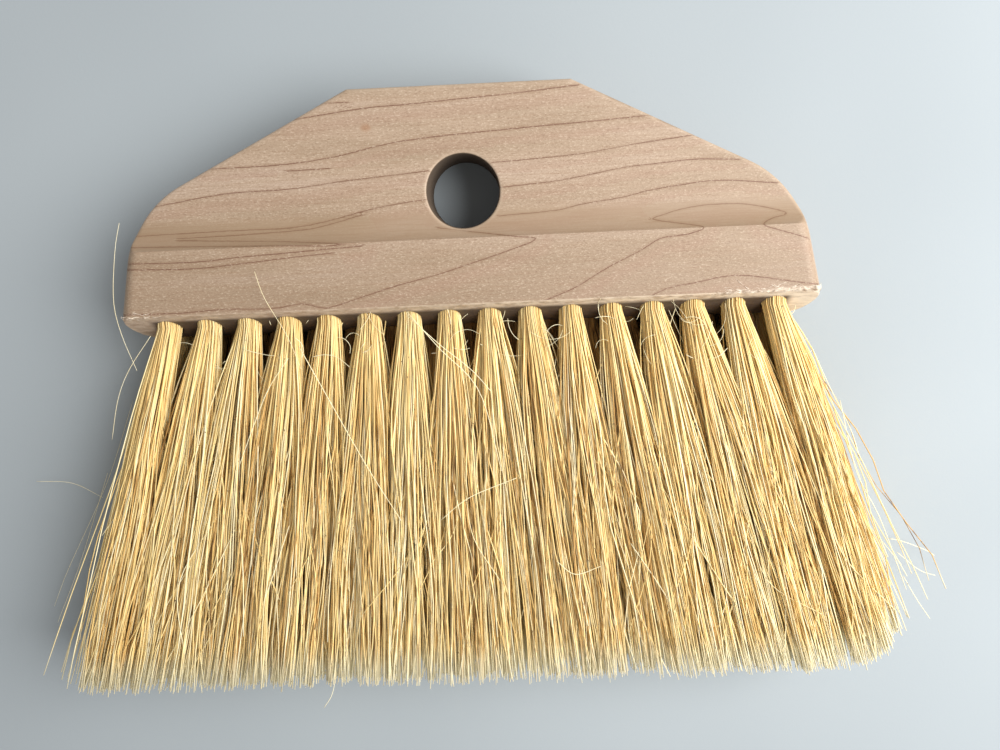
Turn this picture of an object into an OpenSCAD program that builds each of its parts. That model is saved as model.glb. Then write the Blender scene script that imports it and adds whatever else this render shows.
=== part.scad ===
// Bee brush: a flat maple block with a hang hole, drilled for three rows of straw-coloured fibre tufts.
// It lies on its back. +X runs along the block, +Y from the fibre tips to the top of the grip, +Z up.
// The origin is below the middle of the whole brush, on the surface that it lies on. Millimetres.

/* [Block] */
// Width of the block along its tuft face, before its corners are rounded
block_w = 190; // [186:1:220]
// Height of the block, from the crest of the tuft face to the top edge
block_h = 63; // [58:1:80]
// Thickness of the base, which holds the tufts
base_t = 25.4; // [24:0.2:30]
// Thickness of the grip, above the coves
grip_t = 19; // [16:0.5:21]
// Height of the full-thickness base above the crest of the tuft face
base_h = 23.8; // [22:0.2:26]
// Height of the tuft face's crest above its long edges
face_crown = 6.6; // [3:0.2:7]
// Radius of the cove between base and grip
cove_r = 9.5; // [8:0.5:12]
// Length of the flat at the top edge
top_flat = 58; // [40:1:80]
// Slope of the shoulders, in degrees below the top edge
shoulder_slope = 26; // [20:1:30]
// Radius between each shoulder and the end of the block
shoulder_r = 29; // [20:1:32]
// Lean of each end, in degrees, which makes the block widest at the tuft face
end_lean = 12; // [4:1:14]
// Radius of the two corners beside the tuft face
corner_r = 6.5; // [4:0.5:7]
// Rounding of the edges of the two ends
end_round = 3.5; // [1.5:0.5:4]

/* [Hang hole] */
// Diameter of the hang hole
hang_d = 19.05; // [12:0.05:24]
// Distance of the hang hole's centre below the top edge
hang_drop = 27; // [24:0.5:29]
// Width of the eased rim, on both faces
hang_ease = 0.6; // [0.2:0.1:1]

/* [Tuft holes] */
// Diameter of a tuft hole
hole_d = 6.8; // [5:0.1:7]
// Depth of a tuft hole, below the crest of the tuft face
hole_depth = 17; // [14:0.5:18]
// Tufts in the front row, and in the back row
outer_count = 16; // [10:1:16]
// Hole spacing along the front row and the back row
outer_pitch = 10.95; // [9.5:0.05:11]
// Hole spacing along the middle row, which has one tuft more
middle_pitch = 10.75; // [9.5:0.05:10.8]
// Distance between rows, through the thickness
row_gap = 7.4; // [7.2:0.1:7.6]

/* [Fibre] */
// Diameter of a tuft where it fills its hole
tuft_d = 6.5; // [4.5:0.1:6.6]
// Free length of the fibre, from the crest of the tuft face to the trimmed tips
trim_l = 100; // [60:1:130]
// Width of the whole brush across the tips
tip_w = 246; // [190:1:270]
// Thickness of the fibre at the tips
tip_t = 28; // [25:0.5:36]
// Part of the free length over which a tuft opens out to its full section
open_part = 0.24; // [0.15:0.01:0.5]
// Gap between neighbouring tufts, once they have opened out
tuft_gap = 0.4; // [0.3:0.1:0.8]

/* [Staples] */
// Diameter of the staple wire
wire_d = 0.9; // [0.6:0.1:1.2]
// Distance between the legs of a staple
staple_w = 4.6; // [4:0.1:5]
// Length of the legs beyond the bottom of the hole
leg_bite = 4.5; // [2:0.5:5]
// Distance of the crown from the bottom of the hole
crown_lift = 1.8; // [1:0.1:3]

/* [Hidden] */
$fn = 96;
eps = 0.01;
rows = ["back", "middle", "front"];
total_l = block_h + trim_l;
top_y = total_l / 2;
face_y = top_y - block_h;
tip_y = -total_l / 2;
hang_y = top_y - hang_drop;
mid_z = base_t / 2;
cove_y = face_y + base_h + sqrt(pow(cove_r, 2) - pow(cove_r - (base_t - grip_t) / 2, 2));
hole_end_y = face_y + hole_depth;
crown_y = hole_end_y - crown_lift;
fold_gap = 0.4;
staple_clear = 0.1;
point_l = 1.2;
slice_l = 0.5;
root_step = 0.5;
section_round = 3;

// The crowned tuft face is an arc through the crest and both long edges.
crown_r = (pow(mid_z, 2) + pow(face_crown, 2)) / (2 * face_crown);
crown_angle = asin(mid_z / crown_r);

// How far the line of an end, and that of a shoulder, pass from the origin.
end_reach = block_w / 2 * cos(end_lean) + face_y * sin(end_lean);
shoulder_reach = top_flat / 2 * sin(shoulder_slope) + top_y * cos(shoulder_slope);

function row_count(row) = outer_count + (row == 1 ? 1 : 0);
function row_pitch(row) = row == 1 ? middle_pitch : outer_pitch;
function row_z(row) = mid_z + (row - 1) * row_gap;
function root_x(row, i) = (i - (row_count(row) - 1) / 2) * row_pitch(row);
function cell_w(row) = (tip_w + tuft_gap) / row_count(row);
function cell_t() = (tip_t + tuft_gap) / len(rows);
function tip_x(row, i) = (i - (row_count(row) - 1) / 2) * cell_w(row);
function tip_z(row) = (row + 0.5) * cell_t() - tuft_gap / 2;
// The point that lies inset inside both the line of an end and that of a shoulder.
function shoulder_point(inset) = [
    (end_reach - inset) * cos(shoulder_slope) - (shoulder_reach - inset) * sin(end_lean),
    (shoulder_reach - inset) * cos(end_lean) - (end_reach - inset) * sin(shoulder_slope)
] / cos(end_lean + shoulder_slope);
// The point that lies inset inside both the line of an end and the crest of the tuft face.
function corner_point(inset) = [
    (end_reach - inset - (face_y + inset) * sin(end_lean)) / cos(end_lean),
    face_y + inset
];
function mix(a, b, t) = a + (b - a) * t;
function tuft_name(row, i) = str(rows[row], "_tuft_", i < 9 ? "0" : "", i + 1);
function staple_name(row) = str(rows[row], "_staples");

// A bar along +Y from the origin.
module bar_y(d, l) {
    rotate([-90, 0, 0])
        cylinder(d = d, h = l);
}

// What rounding a corner takes away: all beyond radius r between two directions from the arc's centre.
module corner_waste(centre, r, from_angle, to_angle) {
    angles = [from_angle, (from_angle + to_angle) / 2, to_angle];
    translate(centre)
        difference() {
            polygon(concat([[0, 0]], [for (a = angles) 1.6 * r * [cos(a), sin(a)]]));
            circle(r = r);
        }
}

// Front outline of the block: a flat top, sloping shoulders, and ends that lean outwards.
module front_outline() {
    half = [corner_point(0), shoulder_point(0), [top_flat / 2, top_y]];
    difference() {
        polygon(concat(half, [for (i = [2 : -1 : 0]) [-half[i].x, half[i].y]]));
        for (side = [0, 1])
            mirror([side, 0]) {
                corner_waste(shoulder_point(shoulder_r), shoulder_r, end_lean, 90 - shoulder_slope);
                corner_waste(corner_point(corner_r), corner_r, -90, end_lean);
            }
    }
}

// Side profile of the block, drawn in Y and Z: a crowned base, a cove on each face, then the grip.
module side_profile() {
    difference() {
        union() {
            translate([face_y, mid_z - grip_t / 2])
                square([block_h, grip_t]);
            translate([face_y, 0])
                square([cove_y - face_y, base_t]);
        }
        for (side = [-1, 1])
            translate([cove_y, mid_z + side * (grip_t / 2 + cove_r)])
                circle(r = cove_r);
        corner_waste([face_y + crown_r, mid_z], crown_r, 180 - crown_angle, 180 + crown_angle);
    }
}

// What rounding the front and back edges of the right-hand end takes away.
module end_waste() {
    run = cove_y - face_y + 2 * corner_r;
    translate([block_w / 2, face_y, 0])
        rotate([0, 0, end_lean])
            translate([0, run - corner_r, 0])
                rotate([90, 0, 0])
                    linear_extrude(run) {
                        corner_waste([-end_round, base_t - end_round], end_round, 0, 90);
                        corner_waste([-end_round, end_round], end_round, -90, 0);
                    }
}

module block_blank() {
    difference() {
        intersection() {
            translate([0, 0, -eps])
                linear_extrude(base_t + 2 * eps)
                    front_outline();
            translate([-block_w / 2 - eps, 0, 0])
                rotate([90, 0, 90])
                    linear_extrude(block_w + 2 * eps)
                        side_profile();
        }
        for (side = [0, 1])
            mirror([side, 0, 0])
                end_waste();
    }
}

module hang_hole() {
    translate([0, hang_y, -eps])
        cylinder(d = hang_d, h = base_t + 2 * eps);
    for (side = [0, 1])
        translate([0, hang_y, mid_z])
            mirror([0, 0, side])
                translate([0, 0, grip_t / 2 - hang_ease])
                    cylinder(r1 = hang_d / 2, r2 = hang_d / 2 + 2 * hang_ease, h = 2 * hang_ease);
}

// A blind tuft hole, with the two small holes that the staple's legs make beyond its bottom.
module tuft_hole(row, i) {
    translate([root_x(row, i), face_y - eps, row_z(row)])
        bar_y(hole_d, hole_depth + eps);
    for (side = [-1, 1])
        translate([root_x(row, i) + side * staple_w / 2, hole_end_y - eps, row_z(row)])
            bar_y(wire_d + staple_clear, leg_bite + staple_clear + eps);
}

module block() {
    color("burlywood")
        difference() {
            block_blank();
            hang_hole();
            for (row = [0 : len(rows) - 1])
                for (i = [0 : row_count(row) - 1])
                    tuft_hole(row, i);
        }
}

// A wire staple: a crown across the hole and two pointed legs, with the centre of its crown at the origin.
module staple(d, leg_l) {
    translate([-staple_w / 2, 0, 0])
        rotate([0, 90, 0])
            cylinder(d = d, h = staple_w, $fn = 24);
    for (side = [-1, 1])
        translate([side * staple_w / 2, 0, 0]) {
            sphere(d = d, $fn = 24);
            rotate([-90, 0, 0]) {
                cylinder(d = d, h = leg_l - point_l, $fn = 24);
                translate([0, 0, leg_l - point_l])
                    cylinder(d1 = d, d2 = d / 4, h = point_l, $fn = 24);
            }
        }
}

module staple_row(row) {
    color("silver")
        for (i = [0 : row_count(row) - 1])
            translate([root_x(row, i), crown_y, row_z(row)])
                staple(wire_d, crown_lift + leg_bite);
}

// A thin slice of a tuft, with rounded corners, across Y at the origin.
module tuft_slice(w, t) {
    for (x = [-1, 1], z = [-1, 1])
        translate([x * (w / 2 - section_round), 0, z * (t / 2 - section_round)])
            rotate([-90, 0, 0])
                cylinder(r = section_round, h = slice_l, $fn = 16);
}

// The free fibre of a tuft: it opens from its round root to its share of the trimmed end.
module tuft_flare(row, i) {
    open_x = mix(root_x(row, i), tip_x(row, i), open_part);
    open_z = mix(row_z(row), tip_z(row), open_part);
    open_w = mix(row_pitch(row), cell_w(row), open_part) - tuft_gap;
    open_t = mix(row_gap, cell_t(), open_part) - tuft_gap;
    hull() {
        translate([root_x(row, i), face_y, row_z(row)])
            rotate([-90, 0, 0])
                cylinder(d = tuft_d - root_step, h = slice_l, $fn = 24);
        translate([open_x, mix(face_y, tip_y, open_part), open_z])
            tuft_slice(open_w, open_t);
        translate([tip_x(row, i), tip_y, tip_z(row)])
            tuft_slice(cell_w(row) - tuft_gap, cell_t() - tuft_gap);
    }
}

// A tuft: a bundle of fibre that fills its hole, folded round the crown of its staple, and flares below.
module tuft(row, i) {
    color("khaki") {
        difference() {
            translate([root_x(row, i), face_y, row_z(row)])
                bar_y(tuft_d, hole_depth - fold_gap);
            translate([root_x(row, i), crown_y, row_z(row)])
                staple(wire_d + staple_clear, crown_lift + leg_bite);
        }
        tuft_flare(row, i);
    }
}

block();
for (row = [0 : len(rows) - 1]) {
    for (i = [0 : row_count(row) - 1])
        tuft(row, i);
    staple_row(row);
}
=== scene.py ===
"""Looks of the bee brush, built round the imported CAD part.

Lengths are in millimetres until a mesh is made, in the CAD frame: +X along the block, +Y from the
trimmed tips to the top of the grip, +Z up. The brush lies on its back at z = 0.
"""

import math

import bpy
import numpy as np
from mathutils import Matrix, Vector
from mathutils.geometry import delaunay_2d_cdt


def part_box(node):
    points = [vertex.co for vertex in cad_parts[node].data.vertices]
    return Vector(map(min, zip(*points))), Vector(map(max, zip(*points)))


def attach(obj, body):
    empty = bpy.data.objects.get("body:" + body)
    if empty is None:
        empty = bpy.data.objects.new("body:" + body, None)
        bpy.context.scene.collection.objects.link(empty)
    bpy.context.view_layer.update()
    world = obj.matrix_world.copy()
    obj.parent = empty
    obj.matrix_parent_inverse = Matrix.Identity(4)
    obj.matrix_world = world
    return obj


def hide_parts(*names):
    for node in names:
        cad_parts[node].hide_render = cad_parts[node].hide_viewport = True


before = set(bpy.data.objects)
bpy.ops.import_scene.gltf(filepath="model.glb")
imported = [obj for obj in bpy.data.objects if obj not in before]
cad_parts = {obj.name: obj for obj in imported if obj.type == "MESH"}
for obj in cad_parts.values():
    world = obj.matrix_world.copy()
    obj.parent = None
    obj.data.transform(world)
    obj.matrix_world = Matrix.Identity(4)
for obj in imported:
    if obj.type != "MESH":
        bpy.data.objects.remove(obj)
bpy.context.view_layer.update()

MM = 0.001

# ---------------------------------------------------------------- sizes that the frame gives
block_low, block_high = (np.array(corner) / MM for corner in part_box("block"))
FACE_Y = block_low[1]
TOP_Y = block_high[1]
BASE_T = block_high[2]
TIP_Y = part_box("front_tuft_01")[0][1] / MM
MID_Z = BASE_T / 2

# ---------------------------------------------------------------- sizes of the block
HALF_W = 95.0
GRIP_T = 19.0
BASE_H = 23.8
COVE_R = 9.5
TOP_HALF = 29.0
SHOULDER_R = 29.0
SHOULDER_SLOPE = math.radians(26)
END_LEAN = math.radians(12)
CORNER_R = 6.5
END_ROUND = 3.5
FACE_CROWN = 6.6
CROWN_R = (MID_Z**2 + FACE_CROWN**2) / (2 * FACE_CROWN)
CROWN_BEVEL = 0.95
CREST_ROUND = 0.10
CREST_HALF_T = 6.0
CROWN_BLEND = 0.35
GRIP_EASE = 1.0
HANG = np.array([0.0, TOP_Y - 27.0])
HANG_R = 9.525
HANG_EASE = 0.7
COVE_END_Y = FACE_Y + BASE_H
COVE_Y = COVE_END_Y + math.sqrt(COVE_R**2 - (COVE_R - (BASE_T - GRIP_T) / 2) ** 2)
MESH_STEP = 0.56
WALL_RINGS = 8
CREST_ROWS = [0.03, 0.1, 0.22, 0.4, 0.65, 0.95, 1.3, 1.7, 2.2, 2.7]
RIM_RINGS = [0.03, 0.13, 0.3, 0.6, 1, 1.8]

# ---------------------------------------------------------------- sizes of the tufts
ROWS = {"back": -1, "middle": 0, "front": 1}
OUTER_COUNT = 16
PITCH = {"back": 10.95, "middle": 10.75, "front": 10.95}
ROW_GAP = 7.4
HOLE_R = 3.4
HOLE_DEPTH = 17.0
HOLE_SIDES = 36
BUNDLE_R = HOLE_R - 0.2
FOLD_HALF_W = 1.6
MOUTH_Y = {"back": FACE_Y + 3.2, "middle": FACE_Y + 0.6, "front": FACE_Y + 3.2}
CROWN_Y = FACE_Y + HOLE_DEPTH - 1.8
TIP_HALF_W = 123.0
TIP_DRAW_IN = 3.4
END_SWING = 2.6
TIP_T = 28.0
OUTER_REACH = 136.0
SIDES = 4
FOLDED = 118


# ================================================================ small helpers
def linear(red, green, blue):
    """A colour given as 0 to 255 in sRGB, as linear RGBA."""
    def channel(c):
        c = c / 255
        return c / 12.92 if c <= 0.04045 else ((c + 0.055) / 1.055) ** 2.4

    return (channel(red), channel(green), channel(blue), 1.0)


def smooth(low, high, x):
    t = np.clip((x - low) / (high - low), 0, 1)
    return t * t * (3 - 2 * t)


def catmull(points, step=0.7):
    """A smooth curve through the points."""
    p = np.array(points, float)
    p = np.vstack([2 * p[0] - p[1], p, 2 * p[-1] - p[-2]])
    curve = []
    for a, b, c, d in zip(p[:-3], p[1:-2], p[2:-1], p[3:]):
        count = max(2, int(np.linalg.norm(c - b) / step))
        for t in np.arange(count) / count:
            curve.append(
                0.5 * (2 * b + (c - a) * t + (2 * a - 5 * b + 4 * c - d) * t**2
                       + (3 * b - a - 3 * c + d) * t**3)
            )
    curve.append(p[-2])
    return np.array(curve)


def new_object(name, mesh, material):
    mesh.materials.append(material)
    obj = bpy.data.objects.new(name, mesh)
    bpy.context.scene.collection.objects.link(obj)
    return obj


def add_attribute(mesh, name, values):
    layer = mesh.attributes.new(name, "FLOAT", "POINT")
    layer.data.foreach_set("value", np.ascontiguousarray(values, np.float32))


def quad_mesh(name, verts, quads):
    """A mesh of quads from arrays, in millimetres."""
    mesh = bpy.data.meshes.new(name)
    mesh.vertices.add(len(verts))
    mesh.vertices.foreach_set("co", (verts * MM).astype(np.float32).ravel())
    mesh.loops.add(quads.size)
    mesh.loops.foreach_set("vertex_index", quads.astype(np.int32).ravel())
    mesh.polygons.add(len(quads))
    mesh.polygons.foreach_set("loop_start", np.arange(0, quads.size, 4, dtype=np.int32))
    mesh.update(calc_edges=True)
    mesh.shade_smooth()
    return mesh


def tubes(name, paths, radii, point_values, across=(1, 0, 0)):
    """One closed tube for each path. paths is fibres x rings x 3; radii is fibres x rings."""
    count, rings, _ = paths.shape
    tangent = np.gradient(paths, axis=1)
    tangent /= np.linalg.norm(tangent, axis=2, keepdims=True)
    side = np.cross(tangent, across)
    side /= np.linalg.norm(side, axis=2, keepdims=True)
    up = np.cross(tangent, side)
    angle = (np.arange(SIDES) + 0.5) * 2 * math.pi / SIDES
    ring = np.cos(angle)[:, None] * side[:, :, None] + np.sin(angle)[:, None] * up[:, :, None]
    verts = (paths[:, :, None] + radii[:, :, None, None] * ring).reshape(-1, 3)
    first = np.arange(count)[:, None, None] * rings * SIDES
    here = first + np.arange(rings - 1)[None, :, None] * SIDES
    k = np.arange(SIDES)[None, None, :]
    after = (k + 1) % SIDES
    walls = np.stack([here + k, here + after, here + SIDES + after, here + SIDES + k], axis=-1)
    start = first[:, 0] + np.arange(SIDES)[::-1]
    end = first[:, 0] + (rings - 1) * SIDES + np.arange(SIDES)
    mesh = quad_mesh(name, verts, np.vstack([walls.reshape(-1, 4), start, end]))
    for key, values in point_values.items():
        add_attribute(mesh, key, np.repeat(values.reshape(-1), SIDES))
    return mesh


# ================================================================ node helpers
class Shader:
    """A material's nodes, with one short method for each kind that is used."""

    def __init__(self, name):
        self.material = bpy.data.materials.new(name)
        self.material.use_nodes = True
        self.tree = self.material.node_tree
        self.bsdf = self.tree.nodes["Principled BSDF"]

    def node(self, kind, **settings):
        node = self.tree.nodes.new(kind)
        for key, value in settings.items():
            setattr(node, key, value)
        return node

    def set(self, socket, value):
        if isinstance(value, bpy.types.NodeSocket):
            self.tree.links.new(value, socket)
        else:
            socket.default_value = value

    def math(self, operation, a, b=0.0):
        node = self.node("ShaderNodeMath", operation=operation)
        self.set(node.inputs[0], a)
        self.set(node.inputs[1], b)
        return node.outputs[0]

    def attribute(self, name):
        return self.node("ShaderNodeAttribute", attribute_name=name).outputs["Fac"]

    def position(self, scale=(1, 1, 1)):
        """Object coordinates in millimetres, stretched by scale."""
        place = self.node("ShaderNodeTexCoord").outputs["Object"]
        mapping = self.node("ShaderNodeMapping")
        self.set(mapping.inputs["Vector"], place)
        mapping.inputs["Scale"].default_value = [s / MM for s in scale]
        return mapping.outputs[0]

    def axes(self):
        """The object coordinates in millimetres, one by one."""
        node = self.node("ShaderNodeSeparateXYZ")
        self.set(node.inputs[0], self.position())
        return node.outputs

    def noise(self, scale, detail=3.0, roughness=0.55, distortion=0.0):
        """Noise with about one blob in each scale, given in millimetres for X, Y and Z."""
        node = self.node("ShaderNodeTexNoise")
        self.set(node.inputs["Vector"], self.position([1 / s for s in scale]))
        node.inputs["Scale"].default_value = 1.0
        node.inputs["Detail"].default_value = detail
        node.inputs["Roughness"].default_value = roughness
        node.inputs["Distortion"].default_value = distortion
        return node.outputs["Fac"]

    def span(self, value, low, high, to_low=0.0, to_high=1.0):
        """value from low..high to to_low..to_high, clamped and smoothed."""
        node = self.node("ShaderNodeMapRange", interpolation_type="SMOOTHSTEP")
        self.set(node.inputs["Value"], value)
        limits = {"From Min": low, "From Max": high, "To Min": to_low, "To Max": to_high}
        for key, number in limits.items():
            node.inputs[key].default_value = number
        return node.outputs[0]

    def mix(self, factor, a, b):
        node = self.node("ShaderNodeMix", data_type="RGBA")
        self.set(node.inputs["Factor"], factor)
        self.set(node.inputs[6], a)
        self.set(node.inputs[7], b)
        return node.outputs[2]

    def ramp(self, value, stops):
        node = self.node("ShaderNodeValToRGB")
        self.set(node.inputs[0], value)
        elements = node.color_ramp.elements
        while len(elements) < len(stops):
            elements.new(0.5)
        for element, (place, colour) in zip(elements, stops):
            element.position = place
            element.color = colour
        return node.outputs[0]

    def bump(self, height, distance, strength=1.0, normal=None):
        """Bump of the given height, in millimetres."""
        node = self.node("ShaderNodeBump")
        node.inputs["Strength"].default_value = strength
        node.inputs["Distance"].default_value = distance * MM
        self.set(node.inputs["Height"], height)
        if normal is not None:
            self.set(node.inputs["Normal"], normal)
        return node.outputs[0]

    def finish(self, colour, roughness, normal):
        self.set(self.bsdf.inputs["Base Color"], colour)
        self.set(self.bsdf.inputs["Roughness"], roughness)
        self.set(self.bsdf.inputs["Normal"], normal)
        return self.material


# ================================================================ camera, floor and light
def add_camera():
    """The camera that was fitted to the photo's view of the block."""
    data = bpy.data.cameras.new("camera")
    data.sensor_width = 36
    data.lens = 26.6
    data.clip_start = 0.01
    camera = bpy.data.objects.new("camera", data)
    camera.location = (0.0115, 0.0363, 0.2211)
    camera.rotation_euler = [math.radians(a) for a in (-8.9, 0.74, -2.46)]
    bpy.context.scene.collection.objects.link(camera)
    bpy.context.scene.camera = camera


def floor_material():
    s = Shader("pale_floor")
    cloud = s.noise((180, 180, 180), detail=2)
    colour = s.ramp(cloud, [(0.3, linear(159, 167, 172)), (0.7, linear(168, 176, 181))])
    return s.finish(colour, 0.8, s.bump(s.noise((0.8, 0.8, 0.8)), 0.02))


def add_floor():
    half = 0.9
    corners = [(-half, -half, 0), (half, -half, 0), (half, half, 0), (-half, half, 0)]
    mesh = bpy.data.meshes.new("floor")
    mesh.from_pydata(corners, [], [(0, 1, 2, 3)])
    floor = new_object("floor", mesh, floor_material())


def add_light(name, place, target, size, power, colour):
    data = bpy.data.lights.new(name, "AREA")
    data.shape = "DISK"
    data.size = size
    data.energy = power
    data.color = colour
    light = bpy.data.objects.new(name, data)
    light.location = place
    light.rotation_euler = (Vector(target) - Vector(place)).to_track_quat("-Z", "Y").to_euler()
    bpy.context.scene.collection.objects.link(light)


def add_lights():
    world = bpy.data.worlds.new("studio")
    bpy.context.scene.world = world
    world.use_nodes = True
    background = world.node_tree.nodes["Background"]
    background.inputs["Color"].default_value = (1.0, 0.985, 0.965, 1)
    background.inputs["Strength"].default_value = 0.40
    add_light("window", (0.46, 0.06, 0.44), (0.02, 0, 0), 0.60, 7.5, (1.0, 0.99, 0.97))
    bpy.context.scene.view_settings.view_transform = "Standard"


# ================================================================ the block's shape
def inset_point(normal_a, reach_a, normal_b, reach_b):
    """The point that is as far out as each reach along each of two directions, given as angles."""
    rows = [[math.cos(angle), math.sin(angle)] for angle in (normal_a, normal_b)]
    return np.linalg.solve(rows, [reach_a, reach_b])


def block_outline():
    """The front outline, anticlockwise from the middle of the tuft face, about a step apart."""
    end_reach = HALF_W * math.cos(END_LEAN) + FACE_Y * math.sin(END_LEAN)
    slope_normal = math.pi / 2 - SHOULDER_SLOPE
    slope_reach = TOP_HALF * math.cos(slope_normal) + TOP_Y * math.sin(slope_normal)

    def arc(centre, radius, start, end):
        count = max(6, int(radius * (end - start) / MESH_STEP))
        angle = np.linspace(start, end, count + 1)
        return centre + radius * np.stack([np.cos(angle), np.sin(angle)], 1)

    low = inset_point(END_LEAN, end_reach - CORNER_R, -math.pi / 2, -FACE_Y - CORNER_R)
    high = inset_point(END_LEAN, end_reach - SHOULDER_R, slope_normal, slope_reach - SHOULDER_R)
    right = np.vstack([
        np.array([[0, FACE_Y]]),
        arc(low, CORNER_R, -math.pi / 2, END_LEAN),
        arc(high, SHOULDER_R, END_LEAN, slope_normal),
        np.array([[TOP_HALF, TOP_Y], [0, TOP_Y]]),
    ])
    filled = [right[:1]]
    for a, b in zip(right[:-1], right[1:]):
        count = max(1, round(np.linalg.norm(b - a) / MESH_STEP))
        filled.append(a + (b - a) * (np.arange(1, count + 1) / count)[:, None])
    right = np.vstack(filled)
    left = right[-2:0:-1] * [-1, 1]
    return np.vstack([right, left])


def inside_gap(points, outline, ends_only=False):
    """How far each point is inside the closed outline, or inside the parts of it that face sideways."""
    a, b = outline, np.roll(outline, -1, axis=0)
    along = b - a
    length = np.linalg.norm(along, axis=1)
    inward = np.stack([-along[:, 1], along[:, 0]], 1) / length[:, None]
    gaps = points @ inward.T - np.sum(a * inward, axis=1)
    if ends_only:
        gaps = gaps[:, np.abs(inward[:, 0]) > 0.5]
    return gaps.min(axis=1)


def eased(gap, radius):
    """How far an edge rounded to the radius falls below the face, at a gap inside the edge."""
    inner = np.clip(radius - gap, 0, radius)
    return radius - np.sqrt(np.maximum(radius**2 - inner**2, 0))


def soft_min(a, b, blend):
    """The lower of two heights, with the crease between them rounded over the blend."""
    mix = np.clip(0.5 + (b - a) / (2 * blend), 0, 1)
    return b + (a - b) * mix - blend * mix * (1 - mix)


def crown_height(y):
    """Height of the tuft face above mid-thickness: partly an arc, partly a straight bevel."""
    samples = 400
    z = np.linspace(0, 2 * MID_Z, samples)
    arc = CROWN_R - np.sqrt(np.maximum(CROWN_R**2 - z**2, 0))
    bevel = FACE_CROWN * np.sqrt((z / MID_Z) ** 2 + CREST_ROUND) - FACE_CROWN * math.sqrt(CREST_ROUND)
    at_edge = np.interp(MID_Z, z, bevel)
    rise = FACE_Y + CROWN_BEVEL * bevel * FACE_CROWN / at_edge + (1 - CROWN_BEVEL) * arc
    return np.interp(y, rise, z)


def front_height(points, gap, end_gap):
    """Height of the block's front above the middle of its thickness."""
    y = points[:, 1]
    to_cove = np.clip(COVE_Y - y, 0, COVE_Y - COVE_END_Y)
    profile = GRIP_T / 2 + COVE_R - np.sqrt(COVE_R**2 - to_cove**2)
    # Near the cove the crown is lifted well clear of the block, so that it only shapes the tuft face.
    well_clear = 40
    crown = crown_height(y) + well_clear * smooth(COVE_END_Y - 4, COVE_END_Y, y)
    end = MID_Z - eased(end_gap, END_ROUND)
    height = soft_min(np.minimum(profile, end), crown, CROWN_BLEND)
    height = np.where(crown < CREST_HALF_T, np.minimum(crown, end), height)
    on_grip = smooth(COVE_END_Y, COVE_END_Y + 3, y)
    height = height - eased(gap, GRIP_EASE) * on_grip
    from_hole = np.linalg.norm(points - HANG, axis=1) - HANG_R
    height = height - eased(np.maximum(from_hole, 0), HANG_EASE)
    return np.maximum(height, 0)


def face_points(outline):
    """Points over the front, close together where it curves, and the loops of its two edges."""
    offsets = END_ROUND * (1 - np.cos(np.radians(np.arange(9, 100, 9))))
    crown_rows = list(FACE_Y + np.array(CREST_ROWS))
    normal = np.roll(outline, -1, axis=0) - np.roll(outline, 1, axis=0)
    normal = np.stack([-normal[:, 1], normal[:, 0]], 1)
    normal /= np.linalg.norm(normal, axis=1, keepdims=True)
    rings = np.vstack([outline + normal * d for d in offsets])
    rings = rings[np.abs(rings[:, 1] - COVE_END_Y) > 0.35]
    rings = rings[(rings[:, 1] > crown_rows[-1]) | (np.abs(rings[:, 0]) > HALF_W - 2 * CORNER_R)]
    around = np.radians(np.arange(0, 360, 5.0))
    circle = np.stack([np.cos(around), np.sin(around)], 1)
    hole = HANG + circle * HANG_R
    hole_rings = np.vstack([HANG + circle * (HANG_R + HANG_EASE * k) for k in RIM_RINGS])
    arris_y = FACE_Y + FACE_CROWN
    crease_rows = [COVE_END_Y - 0.12, COVE_END_Y, COVE_END_Y + 0.25]
    crease_rows += [arris_y - 0.3, arris_y - 0.1, arris_y + 0.1, arris_y + 0.3]
    plain_rows = crown_rows + [
        y for y in np.arange(crown_rows[-1] + MESH_STEP, TOP_Y, MESH_STEP)
        if abs(y - COVE_END_Y) > 0.4 and abs(y - arris_y) > 0.45
    ]
    grid = []
    for k, y in enumerate(sorted(crease_rows + plain_rows)):
        step = MESH_STEP / 2 if y in crease_rows else MESH_STEP
        x = np.arange(-HALF_W + (k % 2) * step / 2, HALF_W, step)
        grid.append(np.stack([x, np.full_like(x, y)], 1))
    grid = np.vstack(grid)
    on_crease = np.abs(grid[:, 1] - COVE_END_Y) < 0.3
    gap = inside_gap(grid, outline)
    near_face = (grid[:, 1] < FACE_Y + 6) & (np.abs(grid[:, 0]) < HALF_W - 2 * CORNER_R)
    clear = np.where(on_crease, gap > 0.25, np.where(near_face, gap > 1e-3, gap > offsets[-1] + 0.3))
    clear &= np.linalg.norm(grid - HANG, axis=1) > HANG_R + 2.2 * HANG_EASE
    return np.vstack([outline, hole, rings, hole_rings, grid[clear]]), len(outline), len(hole)


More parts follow.
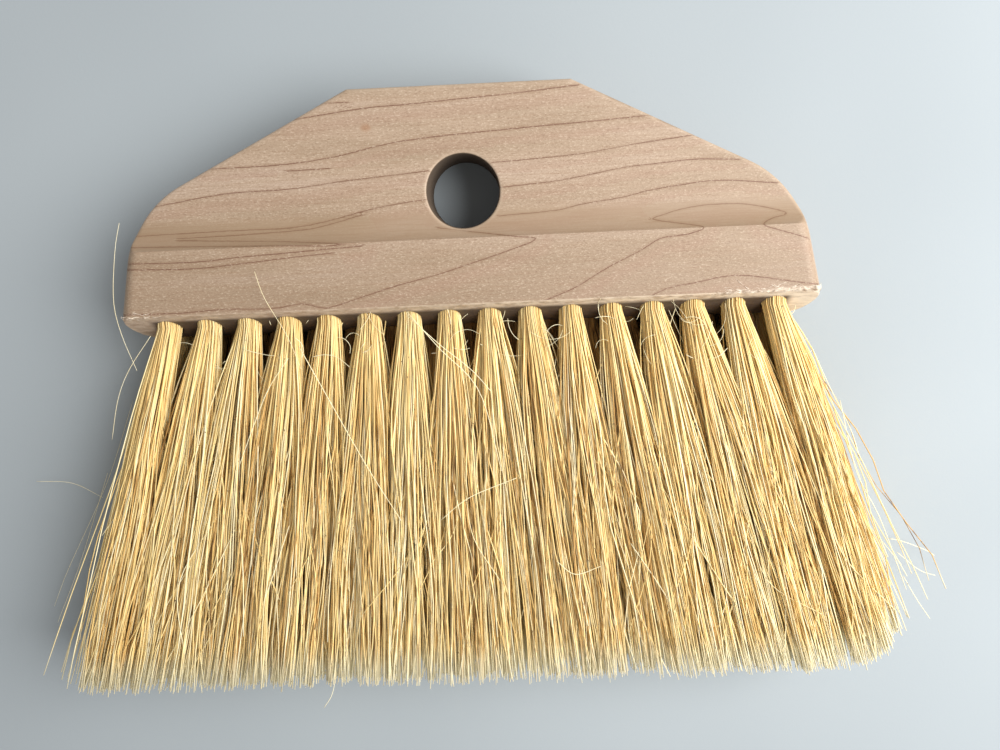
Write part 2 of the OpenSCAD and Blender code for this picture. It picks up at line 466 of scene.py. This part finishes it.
def block_blank():
    """The block before it is drilled: one closed mesh, with its back the mirror of its front."""
    outline = block_outline()
    points, edge_count, hole_count = face_points(outline)
    edges = [(k, (k + 1) % edge_count) for k in range(edge_count)]
    edges += [(edge_count + k, edge_count + (k + 1) % hole_count) for k in range(hole_count)]
    found = delaunay_2d_cdt([Vector(p) for p in points], edges, [], 0, 1e-4)
    new_faces, old_points = found[2], found[3]
    triangles = np.array([[old_points[v][0] for v in face] for face in new_faces])
    corner = points[triangles]
    twice_area = np.cross(corner[:, 1] - corner[:, 0], corner[:, 2] - corner[:, 0])
    triangles[twice_area < 0] = triangles[twice_area < 0][:, ::-1]
    centre = corner.mean(axis=1)
    solid = np.linalg.norm(centre - HANG, axis=1) > HANG_R * 0.999
    triangles = triangles[solid & (np.abs(twice_area) > 1e-7)]
    gap = np.maximum(inside_gap(points, outline), 0)
    end_gap = np.maximum(inside_gap(points, outline, ends_only=True), 0)
    height = front_height(points, gap, end_gap)
    count = len(points)
    verts = [np.column_stack([points, MID_Z + height]), np.column_stack([points, MID_Z - height])]
    faces = [tuple(t) for t in triangles] + [tuple(t[::-1] + count) for t in triangles]
    total = 2 * count
    loop_ids = [np.arange(edge_count), np.arange(edge_count, edge_count + hole_count)[::-1]]
    for ids in loop_ids:
        below = ids + count
        for level in range(1, WALL_RINGS):
            share = level / WALL_RINGS
            z = MID_Z - height[ids] * (1 - 2 * share)
            verts.append(np.column_stack([points[ids], z]))
            now = np.arange(total, total + len(ids))
            faces += wall_faces(below, now)
            below = now
            total += len(ids)
        faces += wall_faces(below, ids)
    mesh = bpy.data.meshes.new("block_blank")
    mesh.from_pydata((np.vstack(verts) * MM).tolist(), [], [tuple(int(v) for v in f) for f in faces])
    mesh.update()
    return mesh


def wall_faces(lower, upper):
    ahead = np.roll(lower, -1), np.roll(upper, -1)
    return [tuple(q) for q in np.stack([lower, ahead[0], ahead[1], upper], 1)]


def row_count(row):
    return OUTER_COUNT + (row == "middle")


def root_x(row, i):
    return (i - (row_count(row) - 1) / 2) * PITCH[row]


def row_z(row):
    return MID_Z + ROWS[row] * ROW_GAP


def hole_cutter():
    """A closed bar for each of the tuft holes."""
    around = np.arange(HOLE_SIDES) * 2 * math.pi / HOLE_SIDES
    verts, faces = [], []
    for row in ROWS:
        for i in range(row_count(row)):
            start = len(verts) * HOLE_SIDES
            end = start + HOLE_SIDES
            for y in (FACE_Y - 2, FACE_Y + HOLE_DEPTH):
                ring = np.zeros((HOLE_SIDES, 3))
                ring[:, 0] = root_x(row, i) + HOLE_R * np.cos(around)
                ring[:, 1] = y
                ring[:, 2] = row_z(row) - HOLE_R * np.sin(around)
                verts.append(ring)
            for k in range(HOLE_SIDES):
                n = (k + 1) % HOLE_SIDES
                faces.append((start + k, start + n, end + n, end + k))
            faces.append(tuple(range(end - 1, start - 1, -1)))
            faces.append(tuple(range(end, end + HOLE_SIDES)))
    mesh = bpy.data.meshes.new("hole_cutter")
    mesh.from_pydata((np.vstack(verts) * MM).tolist(), [], faces)
    mesh.update()
    return mesh


# ================================================================ the wood's growth lines
# The points were picked by eye on the photo, and a scratch script turned them into millimetres through
# the fitted camera. Where a ring ends in a point, its line turns back. Close neighbours run opposite
# ways, so the wood between them is on the same side of both.
GROWTH_LINES = [
    [(-43, 74.5), (-24, 76.5), (-12, 77), (15, 78.5), (31, 79.7)],
    [(-36, 78.2), (-29, 78.1)],
    [(-66, 63), (-47, 63.3), (-33, 64.7), (-21, 67), (-9, 68.4), (14, 69.7), (34, 70.6), (51, 71.5)],
    [(-82, 54), (-63, 56.5), (-46, 57), (-30, 58.5), (-9, 60)],
    [(8, 61.4), (21, 62), (32, 62.7), (45, 64.4), (60, 66)],
    [(-35, 61.8), (-46, 61.6)],
    [(-90, 46.5), (-64, 46.9), (-47, 47), (-37, 48.2), (-26, 50.6), (-18, 51.9), (-9.6, 52.8)],
    [(10, 55), (26, 56.2), (41, 58.5), (51, 59.3), (61, 59.9), (72, 59.4)],
    [(-27, 49.6), (-35, 47.6), (-42, 46.4), (-53, 45.9), (-64, 45.6), (-76, 45.5)],
    [(-76, 44.9), (-64, 44.3), (-47, 43.4), (-36, 42.5), (-27, 41.6)],
    [(-92, 39.4), (-72, 39.1), (-59, 39.9), (-47, 40.4), (-36, 41.0), (-27, 41.4), (-36, 41.8),
     (-45, 42.2), (-58, 42.7), (-74, 43.2), (-92, 43.7)],
    [(-35, 39.9), (-46, 39.2), (-59, 38.2), (-72, 37.4), (-92, 37.9)],
    [(-95, 26.1), (-78, 25.9), (-65, 26.4), (-52, 26.1), (-44, 27), (-39, 25.8), (-35, 26.1),
     (-20, 30.3), (-7, 33.3), (0, 35.3), (10, 38.2), (18.5, 41.2), (12, 42.3), (-2, 44.5), (-7, 45.3)],
    [(9, 47.7), (24, 48.5), (31, 49.8), (41, 51), (49, 52.6), (57, 53.6), (67, 54.3), (82, 53)],
    [(20, 25), (28.5, 28.3), (35, 32), (40, 34.5), (46, 37.3), (51, 40), (58, 40.8), (62, 42.1),
     (60, 43), (50.5, 44.7), (49.4, 45.3), (53, 46.4), (57, 47.4), (64, 48.2), (74, 47.9), (84, 45.3),
     (80, 43.9), (77.6, 42.3), (82.6, 40.5), (89, 38.4)],
    [(48, 25.1), (53, 27.1), (60.5, 28.3), (66, 29.3), (71, 29.6), (77, 28.9), (86, 27.3), (96, 25.8)],
]
GRAIN_TILT = 0.3
FRONT_DEPTH = 21.0
LINE_REACH = 6
FAR_GAP = 20


def growth_gaps(points):
    """For each point of the wood, the distance to the nearest growth line, and which side it is on."""
    flat = points[:, :2].copy()
    flat[:, 1] += GRAIN_TILT * np.maximum(FRONT_DEPTH - points[:, 2], 0)
    best = np.full(len(flat), 1e9)
    side = np.zeros(len(flat))
    for line in GROWTH_LINES:
        curve = catmull(line)
        near = np.flatnonzero(
            np.all(flat > curve.min(axis=0) - LINE_REACH, axis=1)
            & np.all(flat < curve.max(axis=0) + LINE_REACH, axis=1)
        )
        for a, b in zip(curve[:-1], curve[1:]):
            along = b - a
            off = flat[near] - a
            share = np.clip(off @ along / (along @ along), 0, 1)
            gap = np.linalg.norm(off - share[:, None] * along, axis=1)
            closer = gap < best[near]
            which = near[closer]
            best[which] = gap[closer]
            turn = along[0] * off[closer, 1] - along[1] * off[closer, 0]
            side[which] = np.where(turn >= 0, 1, -1)
    return np.minimum(best, FAR_GAP), side


# ================================================================ materials
def maple_material():
    """Pale tan maple, with thin brown growth lines, fine streaks and flecks, and a little relief."""
    s = Shader("maple_wood")
    x, y, _ = s.axes()
    zone = s.noise((70, 9, 30), detail=3, distortion=0.4)
    colour = s.ramp(zone, [(0.30, linear(160, 138, 115)), (0.50, linear(174, 151, 129)),
                           (0.68, linear(181, 159, 140))])
    low = s.span(y, 60, 26)
    colour = s.mix(s.math("MULTIPLY", low, 0.48), colour, linear(141, 118, 94))
    streak = s.noise((9, 0.35, 0.35), detail=4, roughness=0.65)
    colour = s.mix(s.span(streak, 0.42, 0.72, 0, 0.42), colour, linear(144, 113, 87))
    side = s.attribute("line_side")
    gap = s.attribute("line_gap")
    tint = s.math("MULTIPLY", s.span(side, 0.0, -2.6, 0, 1), s.span(side, -6.0, -2.6, 0, 1))
    colour = s.mix(s.math("MULTIPLY", tint, 0.35), colour, linear(160, 128, 108))
    wobble = s.math("MULTIPLY", s.math("SUBTRACT", s.noise((1.6, 0.5, 0.5), detail=3), 0.5), 0.3)
    from_line = s.math("ABSOLUTE", s.math("ADD", side, wobble))
    line = s.span(from_line, 0.20, 0.02)
    halo = s.span(from_line, 0.8, 0.1)
    strength = s.math("MULTIPLY", s.span(gap, 1.3, 0.6), s.span(s.noise((14, 3, 3)), 0.25, 0.6, 0.65, 1.0))
    halo = s.math("MULTIPLY", halo, strength)
    line = s.math("MULTIPLY", line, strength)
    colour = s.mix(s.math("MULTIPLY", halo, 0.34), colour, linear(136, 102, 78))
    colour = s.mix(s.math("MULTIPLY", line, 0.82), colour, linear(104, 66, 46))
    # The cove is smoother than the rest and nearly free of flecks. Its darker tone is painted shade.
    above_base = s.span(y, COVE_END_Y - 0.3, COVE_END_Y + 0.6)
    cove = s.math("MULTIPLY", above_base, s.span(y, COVE_Y + 1.5, COVE_Y - 1.5))
    colour = s.mix(s.math("MULTIPLY", cove, 0.42), colour, linear(143, 118, 90))
    rough_cut = s.math("SUBTRACT", 1.0, s.math("MULTIPLY", cove, 0.85))
    fleck = s.noise((0.75, 0.34, 0.34), detail=2, roughness=0.7)
    light_fleck = s.math("MULTIPLY", s.span(fleck, 0.56, 0.68), rough_cut)
    dark_fleck = s.math("MULTIPLY", s.span(fleck, 0.43, 0.33), rough_cut)
    colour = s.mix(s.math("MULTIPLY", light_fleck, 0.32), colour, linear(222, 204, 182))
    colour = s.mix(s.math("MULTIPLY", dark_fleck, 0.40), colour, linear(122, 94, 72))
    # A pin knot, and dark streaks along the edge of the right-hand shoulder.
    knot = s.math("SQRT", s.math("ADD", s.math("POWER", s.math("ADD", x, 24.5), 2),
                                 s.math("POWER", s.math("MULTIPLY", s.math("SUBTRACT", y, 71.6), 1.3), 2)))
    colour = s.mix(s.math("MULTIPLY", s.span(knot, 2.0, 0.4), 0.45), colour, linear(150, 100, 62))
    edge = s.attribute("edge_gap")
    shoulder = s.math("MULTIPLY", s.span(edge, 0.9, 0.2), s.span(x, 24, 30))
    patches = s.span(s.noise((7, 7, 60)), 0.45, 0.6)
    streaks = s.math("MULTIPLY", shoulder, s.math("MULTIPLY", s.span(y, 58, 64), patches))
    colour = s.mix(s.math("MULTIPLY", streaks, 0.6), colour, linear(96, 66, 44))
    # Painted highlight along the eased edges of the outline and of the hang hole.
    edge_highlight = s.span(s.math("ADD", edge, s.math("MULTIPLY", s.noise((5, 5, 5)), 1.2)), 1.9, 0.7)
    colour = s.mix(s.math("MULTIPLY", edge_highlight, 0.28), colour, linear(214, 194, 170))
    # A pale rim runs along the edges of the tuft face, stronger towards the right: a painted highlight. The
    # face and the hang hole's wall are dark only to match their deep shade in the photo.
    arris = FACE_Y + FACE_CROWN
    rim = s.math("MULTIPLY", s.span(y, arris + 0.35, arris), s.span(s.noise((3, 1, 1)), 0.35, 0.6, 0.25, 1))
    rim = s.math("MULTIPLY", rim, s.span(x, -60, 60, 0.35, 0.8))
    colour = s.mix(rim, colour, linear(232, 214, 190))
    inside_ends = s.span(s.math("ABSOLUTE", x), 87.5, 84.5)
    face = s.math("MULTIPLY", s.span(y, arris - 0.9, arris - 1.9), inside_ends)
    colour = s.mix(s.math("MULTIPLY", face, 0.94), colour, linear(62, 46, 34))
    torn = s.math("MULTIPLY", s.span(x, 74, 86), s.span(y, arris + 1.2, arris + 0.2))
    torn = s.math("MULTIPLY", torn, s.math("SUBTRACT", 1.0, face))
    torn = s.math("MULTIPLY", torn, s.span(s.noise((5, 0.5, 1.5)), 0.3, 0.6, 0.3, 1))
    colour = s.mix(s.math("MULTIPLY", torn, 0.75), colour, linear(236, 222, 202))
    bore = s.span(s.attribute("bore_gap"), 0.35, 0.1)
    colour = s.mix(s.math("MULTIPLY", bore, 0.9), colour, linear(62, 48, 34))
    rough = s.math("ADD", s.span(fleck, 0.3, 0.7, 0.50, 0.62), s.math("MULTIPLY", bore, 0.35))
    grain = s.bump(s.math("MULTIPLY", streak, rough_cut), 0.10, 0.6)
    pores = s.bump(s.math("MULTIPLY", fleck, rough_cut), 0.14, 0.7, grain)
    groove = s.bump(s.math("MULTIPLY", line, -1.0), 0.04, 0.6, pores)
    return s.finish(colour, rough, groove)


def fibre_material():
    """Stiff straw-coloured fibre, each one a little different, with a soft sheen."""
    s = Shader("straw_fibre")
    shade = s.attribute("shade")
    along = s.attribute("along")
    patch = s.math("MULTIPLY", s.math("SUBTRACT", s.noise((2.5, 14, 2.5), detail=3), 0.5), 0.5)
    colour = s.ramp(s.math("ADD", shade, patch), [
        (0.0, linear(98, 66, 34)), (0.10, linear(208, 164, 98)), (0.32, linear(242, 206, 134)),
        (0.64, linear(252, 228, 164)), (0.97, linear(255, 246, 210))])
    colour = s.mix(s.span(along, 0.10, 0.0, 0, 0.22), colour, linear(186, 148, 92))
    colour = s.mix(s.span(along, 0.88, 0.98, 0, 0.75), colour, linear(255, 247, 214))
    speck = s.span(s.noise((0.7, 0.9, 0.7), detail=1), 0.745, 0.775)
    colour = s.mix(s.math("MULTIPLY", speck, 0.8), colour, linear(70, 42, 22))
    ribs = s.noise((0.16, 6, 0.16), detail=3)
    rough = s.span(ribs, 0.3, 0.7, 0.46, 0.62)
    s.bsdf.inputs["Specular IOR Level"].default_value = 0.28
    return s.finish(colour, rough, s.bump(ribs, 0.03, 0.5))


def wire_material():
    """Drawn, zinc-coated wire: fine lines along it, and dull spots in the zinc."""
    s = Shader("zinc_wire")
    spots = s.noise((0.5, 0.9, 0.5), detail=4)
    lines = s.noise((1.4, 1.4, 0.05), detail=2)
    colour = s.ramp(spots, [(0.35, linear(150, 152, 154)), (0.65, linear(198, 200, 202))])
    s.bsdf.inputs["Metallic"].default_value = 1.0
    return s.finish(colour, s.span(spots, 0.3, 0.7, 0.28, 0.5), s.bump(lines, 0.01, 0.5))


# ================================================================ the tufts
def sunflower(count):
    """Points spread evenly over the unit disc."""
    k = np.arange(count)
    radius = np.sqrt((k + 0.5) / count)
    angle = k * math.pi * (3 - math.sqrt(5))
    return np.stack([radius * np.cos(angle), radius * np.sin(angle)], 1)


def to_square(disc):
    """The unit disc stretched to fill the square."""
    reach = np.linalg.norm(disc, axis=1) / np.maximum(np.abs(disc).max(axis=1), 1e-6)
    return disc * reach[:, None]


def trimmed_end(x):
    """Where the fibres end: straight across, but shorter at the corners, more so on the right."""
    right_from, right_span, right_rise = 104.0, 18.0, 16.0
    left_from, left_span, left_rise = 110.0, 10.0, 3.0
    right = right_rise * np.clip((x - right_from) / right_span, 0, 1.2) ** 1.7
    left = left_rise * np.clip((-left_from - x) / left_span, 0, 1) ** 1.5
    return TIP_Y + right + left


# The rings of a free end, as shares of its length, and the locks that the ends of a tuft gather in.
FREE = np.array([0, 0.035, 0.09, 0.16, 0.24, 0.33, 0.43, 0.54, 0.65, 0.76, 0.88, 1.0])
LOCKS = 17


def free_ends(rng, row, i, disc):
    """Paths of a tuft's free ends, from the tuft face to their tips, for their places in the root."""
    count = len(disc)
    cell = 2 * (TIP_HALF_W - TIP_DRAW_IN) / row_count(row)
    inner = 0 < i < row_count(row) - 1
    half = np.array([cell / 2 * (1.0 if inner else 0.8), TIP_T / 6])
    tip_centre = np.array([(i - (row_count(row) - 1) / 2) * cell, (ROWS[row] + 1.5) * TIP_T / 3])
    tip_centre[0] += rng.normal(0, 1.6) * (1 if inner else 0.2)
    root_centre = np.array([root_x(row, i), row_z(row)])
    square = to_square(disc)
    tip = tip_centre + square * half * [rng.uniform(1.0, 1.5) if inner else 0.95, 1.0]
    tip += rng.normal(0, 1, (count, 2)) * [2.8 if inner else 1.5, 0.8]
    locks = to_square(sunflower(LOCKS)) + rng.normal(0, 0.16, (LOCKS, 2))
    lock_tip = tip_centre + locks * half * [1.3 if inner else 1.0, 0.95]
    lock_tip += rng.normal(0, 1, (LOCKS, 2)) * [2.2 if inner else 1.0, 0.6]
    nearest = np.argmin(np.linalg.norm(square[:, None] - locks[None], axis=2), axis=1)
    pull = np.clip(rng.normal(0.62, 0.16, count), 0.1, 0.95)
    gather = (lock_tip[nearest] - tip) * pull[:, None]
    cross = np.where(rng.random(count) < 0.22, np.clip(rng.normal(0, 5.0, count), -13, 13), 0)
    cross[rng.random(count) < 0.3] *= 0.4

    t = FREE[None, :, None]
    opening = 1 - (1 - t) ** rng.uniform(1.3, 2.1)
    centre = root_centre + (tip_centre - root_centre) * t
    if row == "middle" and not inner:
        swing_out = np.array([math.copysign(END_SWING, root_centre[0]), 0])
        centre = centre + swing_out * smooth(0, 0.16, t) * (1 - t)
    path = centre + disc[:, None] * BUNDLE_R * (1 - opening) + (tip - tip_centre)[:, None] * opening
    path = path + gather[:, None] * smooth(0.12, 0.8, t)
    path[:, :, 0] += cross[:, None] * FREE**1.3
    for axis, size in ((0, 0.75), (1, 0.45)):
        phase = rng.random((count, 1))
        waves = rng.uniform(0.7, 2.6, (count, 1))
        swing = np.abs(rng.normal(0, size, (count, 1))) * np.where(rng.random((count, 1)) < 0.06, 2.6, 1.0)
        path[:, :, axis] += swing * np.sin(2 * math.pi * (waves * FREE + phase)) * smooth(0, 0.5, FREE)
    lift = np.maximum(path[:, :, 1], 0.3 + 0.25 * rng.random((count, 1)))
    path[:, :, 0] = np.clip(path[:, :, 0], -OUTER_REACH, OUTER_REACH)
    end = trimmed_end(path[:, -1, 0]) + np.clip(rng.normal(0, 0.55, count), -1.3, 1.6)
    end += np.where(rng.random(count) < 0.05, rng.uniform(2, 16, count), 0)
    y = MOUTH_Y[row] + (end - MOUTH_Y[row])[:, None] * FREE
    return np.stack([path[:, :, 0], y, lift], axis=2)


def hole_part(row, i, disc):
    """The stretch of each end inside its hole, from the mouth back to the staple's crown."""
    x = disc[:, 0]
    depth = np.abs(disc[:, 1])
    way = np.sign(disc[:, 1])
    rings = []
    for y, inner in ((MOUTH_Y[row] + 1.5, 0.0), (CROWN_Y - 3.0, 0.25), (CROWN_Y, 1.0)):
        spread = disc[:, 1] * BUNDLE_R * (1 - inner) + way * (0.72 + 2.2 * depth) * inner
        across = x * (BUNDLE_R * (1 - inner) + FOLD_HALF_W * inner)
        rings.append(np.stack([root_x(row, i) + across, np.full_like(x, y), row_z(row) + spread], 1))
    return np.stack(rings, axis=1)


def make_tuft(row, i, material):
    """One tuft: a bundle of fibres folded round the crown of its staple, so each shows two ends."""
    rng = np.random.default_rng(1000 * (ROWS[row] + 2) + i)
    disc = sunflower(2 * FOLDED)
    turn = rng.uniform(0, 2 * math.pi)
    disc = disc @ np.array([[math.cos(turn), math.sin(turn)], [-math.sin(turn), math.cos(turn)]])
    upper = disc[disc[:, 1] > 0] * 0.97
    lower = upper * [1, -1]
    halves = []
    for half in (upper, lower):
        half = half + rng.normal(0, 0.02, half.shape)
        free = free_ends(rng, row, i, half)[:, ::-1]
        halves.append(np.concatenate([free, hole_part(row, i, half)], axis=1))
    depth = np.abs(upper[:, 1])
    fold = np.stack([root_x(row, i) + upper[:, 0] * FOLD_HALF_W, CROWN_Y + 0.68 + 0.75 * depth,
                     np.full(len(upper), row_z(row))], 1)[:, None]
    paths = np.concatenate([halves[0], fold, halves[1][:, ::-1]], axis=1)
    count, rings, _ = paths.shape
    along = np.zeros(rings)
    along[: len(FREE)] = FREE[::-1]
    along[-len(FREE):] = FREE
    radius = np.clip(rng.normal(0.175, 0.03, (count, 1)), 0.11, 0.25)
    radii = radius * (1 - 0.22 * along)
    shade = np.clip(rng.beta(2.4, 1.7, (count, 1)) + rng.normal(0, 0.04), 0, 1)
    shade = np.where(rng.random((count, 1)) < 0.07, 0.08, shade)
    even = 0.5 + 0.5 * smooth(0.0, 0.3, along)
    shade = 0.55 + (shade - 0.55) * even
    # The roots behind the front row are dark only to match the deep shade there in the photo.
    if row != "front" and 0 < i < row_count(row) - 1:
        shade = shade * smooth(0.02, 0.34, along)
    values = {"shade": shade, "along": np.repeat(along[None], count, axis=0)}
    name = f"{row}_tuft_{i + 1:02d}"
    tuft = new_object(f"{name}_fibres", tubes(name, paths, radii, values), material)
    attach(tuft, "root")
    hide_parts(name)


# ================================================================ loose fibres
# Fibres that lie loose on and beside the brush: the height of each, then its points seen from the front.
# The points were picked by eye on the photo, and a scratch script turned them into whole millimetres.
LOOSE = [
    (27.8, [(-55, 36), (-53, 29), (-48, 19), (-45, 10)]),
    (25.6, [(-90, 50), (-92, 43), (-94, 30), (-93, 21), (-90, 11)]),
    (3.0, [(-104, -1), (-115, -26), (-131, -54), (-137, -66)]),
    (3.0, [(-137, -25), (-126, -26), (-117, -31)]),
    (24.0, [(-86, 20), (-93, 11), (-97, 3), (-100, -8)]),
    (4.0, [(-114, -23), (-126, -51), (-136, -71)]),
    (4.0, [(124, -53), (128, -54), (135, -57), (138, -59)]),
    (5.0, [(126, -57), (133, -63), (138, -65)]),
    (24.0, [(118, -56), (122, -63), (126, -69)]),
    (24.0, [(91, 10), (96, -1), (102, -13), (105, -22)]),
    (24.0, [(99, -5), (104, -25), (111, -39), (119, -60)]),
    (27.5, [(-16, 23), (-8, 15), (0, 8), (5, 2)]),
    (28.2, [(-48, 13), (-54, 5), (-59, -5), (-64, -16)]),
    (28.4, [(-10, -33), (-2, -27), (11, -22)]),
    (28.5, [(21, -46), (26, -50), (33, -48)]),
    (28.0, [(-45, 16), (-38, 1), (-29, -18), (-21, -33)]),
    (28.0, [(-16, 24), (-8, 14), (2, 2), (7, -20)]),
    (20.0, [(-85, -78), (-85, -87)]),
    (20.0, [(-44, -78), (-46, -88), (-49, -93)]),
]
CROSSERS = 90
CURLS = 70
THIN_STRAYS = 6


def even_path(points, rings):
    """A smooth path through points, with its rings evenly spread along it."""
    curve = catmull(points)
    travel = np.concatenate([[0], np.cumsum(np.linalg.norm(np.diff(curve, axis=0), axis=1))])
    share = np.linspace(0, travel[-1], rings)
    return np.stack([np.interp(share, travel, curve[:, axis]) for axis in range(3)], axis=1)


def surface_z(y):
    """About how high the front of the fibre mass is."""
    at_roots, rise, top_from_y = BASE_T - 5.0, 7.0, -60
    return at_roots + rise * smooth(FACE_Y, top_from_y, y)


def loose_paths(rng, rings):
    """The listed loose fibres, then bowed ones lying across the mass and curly ones by the roots."""
    paths = [even_path([(x, y, z) for x, y in points], rings) for z, points in LOOSE]
    for _ in range(CROSSERS):
        x, y = rng.uniform(-100, 108), rng.uniform(-62, 14)
        toward = -1 if rng.random() < (0.8 if x < 0 else 0.45) else 1
        lean = toward * math.radians(rng.uniform(4, 26)) + 0.0025 * x
        length = rng.uniform(18, 52)
        way = np.array([-math.sin(lean), math.cos(lean)])
        bow = np.array([way[1], -way[0]]) * rng.normal(0, 0.07) * length
        ends = [np.array([x, y]) + way * length * k for k in (0.5, 0, -0.5)]
        ends[1] = ends[1] + bow
        ends = [(px, max(py, TIP_Y + 3), surface_z(py) + rng.uniform(-1.6, 0.2)) for px, py in ends]
        paths.append(even_path(ends, rings))
    for _ in range(CURLS):
        x, y = rng.uniform(-84, 84), FACE_Y - rng.uniform(-2, 8)
        turn = rng.uniform(0, 2 * math.pi)
        size = rng.uniform(1.8, 6.5)
        bend = rng.uniform(0.3, 2.4) * rng.choice([-1, 1])
        heading = turn + bend * np.linspace(0, 1, 5)
        steps = np.stack([np.cos(heading), np.sin(heading)], 1) * size / 2
        place = np.cumsum(steps, axis=0) + [x, y]
        z = BASE_T - 2.5 + rng.uniform(-2, 2) + rng.normal(0, 0.4, 5)
        paths.append(even_path(np.column_stack([place, z]), rings))
    return np.array(paths)


def make_loose_fibres(material):
    rng = np.random.default_rng(77)
    rings = 16
    paths = loose_paths(rng, rings)
    count = len(paths)
    radius = np.full(count, 0.12)
    radius[:THIN_STRAYS] = 0.07
    radius[len(LOOSE):] = np.clip(rng.normal(0.125, 0.03, count - len(LOOSE)), 0.08, 0.2)
    radius[-CURLS:] *= 0.55
    along = np.linspace(0.15, 0.95, rings)
    radii = radius[:, None] * (1 - 0.35 * np.abs(2 * along - 1) ** 3)
    shade = np.clip(rng.normal(0.66, 0.2, count), 0.15, 1)
    shade[: len(LOOSE)] = 0.9
    shade[-CURLS:] = 0.95
    values = {
        "shade": np.repeat(shade[:, None], rings, axis=1),
        "along": np.repeat(along[None], count, axis=0),
    }
    mesh = tubes("loose_fibres", paths, radii, values, across=(0, 0, 1))
    loose = new_object("loose_fibres", mesh, material)
    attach(loose, "root")


def torn_wood_material():
    """Torn wood fibre: pale and dull, with darker stretches."""
    s = Shader("torn_wood")
    colour = s.ramp(s.noise((1.5, 1.5, 1.5)), [(0.35, linear(150, 122, 96)), (0.6, linear(246, 234, 216))])
    return s.finish(colour, 0.8, s.bump(s.noise((0.3, 0.1, 0.1)), 0.02, 0.5))


def make_torn_grain(material):
    """Slivers and curls of torn wood along the front edge of the tuft face, near its two ends."""
    rng = np.random.default_rng(31)
    rings = 7
    reach = 92.6
    arris = FACE_Y + FACE_CROWN
    paths = []
    for low, high, count in ((66, 90.5, 300), (-91, -84, 60)):
        for _ in range(count):
            x = high - (high - low) * rng.random() ** 1.7 if low > 0 else rng.uniform(low, high)
            y = arris + rng.normal(0, 0.28 + 0.4 * rng.random())
            heading = rng.normal(0, 0.13) + (math.pi if rng.random() < 0.5 else 0)
            bend = rng.normal(0, 0.3)
            step = np.linspace(0, 1, 4)
            length = rng.uniform(1.0, 4.2)
            place = np.stack([np.cos(heading + bend * step), np.sin(heading + bend * step)], 1) * length / 3
            place = np.cumsum(place, axis=0) + [x, y]
            place[:, 0] = np.clip(place[:, 0], -reach, reach)
            z = BASE_T - 0.15 - np.maximum(arris - place[:, 1], 0) * 1.6 + 0.22 * np.sin(math.pi * step)
            paths.append(even_path(np.column_stack([place, z]), rings))
    paths = np.array(paths)
    share = np.linspace(0, 1, rings)
    radii = rng.uniform(0.03, 0.085, (len(paths), 1)) * (1 - 0.7 * np.abs(2 * share - 1) ** 2)
    torn = new_object("torn_grain", tubes("torn_grain", paths, radii, {}, across=(0, 0, 1)), material)
    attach(torn, "root")


# ================================================================ the pieces
def make_block(material):
    block = new_object("maple_block", block_blank(), material)
    cutter = bpy.data.objects.new("hole_cutter", hole_cutter())
    bpy.context.scene.collection.objects.link(cutter)
    drill = block.modifiers.new("drill", "BOOLEAN")
    drill.operation = "DIFFERENCE"
    drill.solver = "MANIFOLD"
    drill.object = cutter
    view = bpy.context.evaluated_depsgraph_get()
    drilled = bpy.data.meshes.new_from_object(block.evaluated_get(view))
    block.modifiers.clear()
    block.data = drilled
    bpy.data.objects.remove(cutter)
    points = np.zeros(len(drilled.vertices) * 3)
    drilled.vertices.foreach_get("co", points)
    points = points.reshape(-1, 3) / MM
    gap, side = growth_gaps(points)
    add_attribute(drilled, "line_gap", gap)
    add_attribute(drilled, "line_side", gap * side)
    outline_gap = inside_gap(points[:, :2], block_outline())
    hole_gap = np.linalg.norm(points[:, :2] - HANG, axis=1) - HANG_R
    add_attribute(drilled, "edge_gap", np.maximum(np.minimum(outline_gap, hole_gap), 0))
    add_attribute(drilled, "bore_gap", np.maximum(hole_gap, 0))
    drilled.shade_smooth()
    drilled.set_sharp_from_angle(angle=math.radians(35))
    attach(block, "root")
    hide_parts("block")


def main():
    add_camera()
    add_floor()
    add_lights()
    make_block(maple_material())
    fibre = fibre_material()
    wire = wire_material()
    for row in ROWS:
        for i in range(row_count(row)):
            make_tuft(row, i, fibre)
        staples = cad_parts[f"{row}_staples"]
        staples.data.materials.clear()
        staples.data.materials.append(wire)
    make_loose_fibres(fibre)
    make_torn_grain(torn_wood_material())


main()
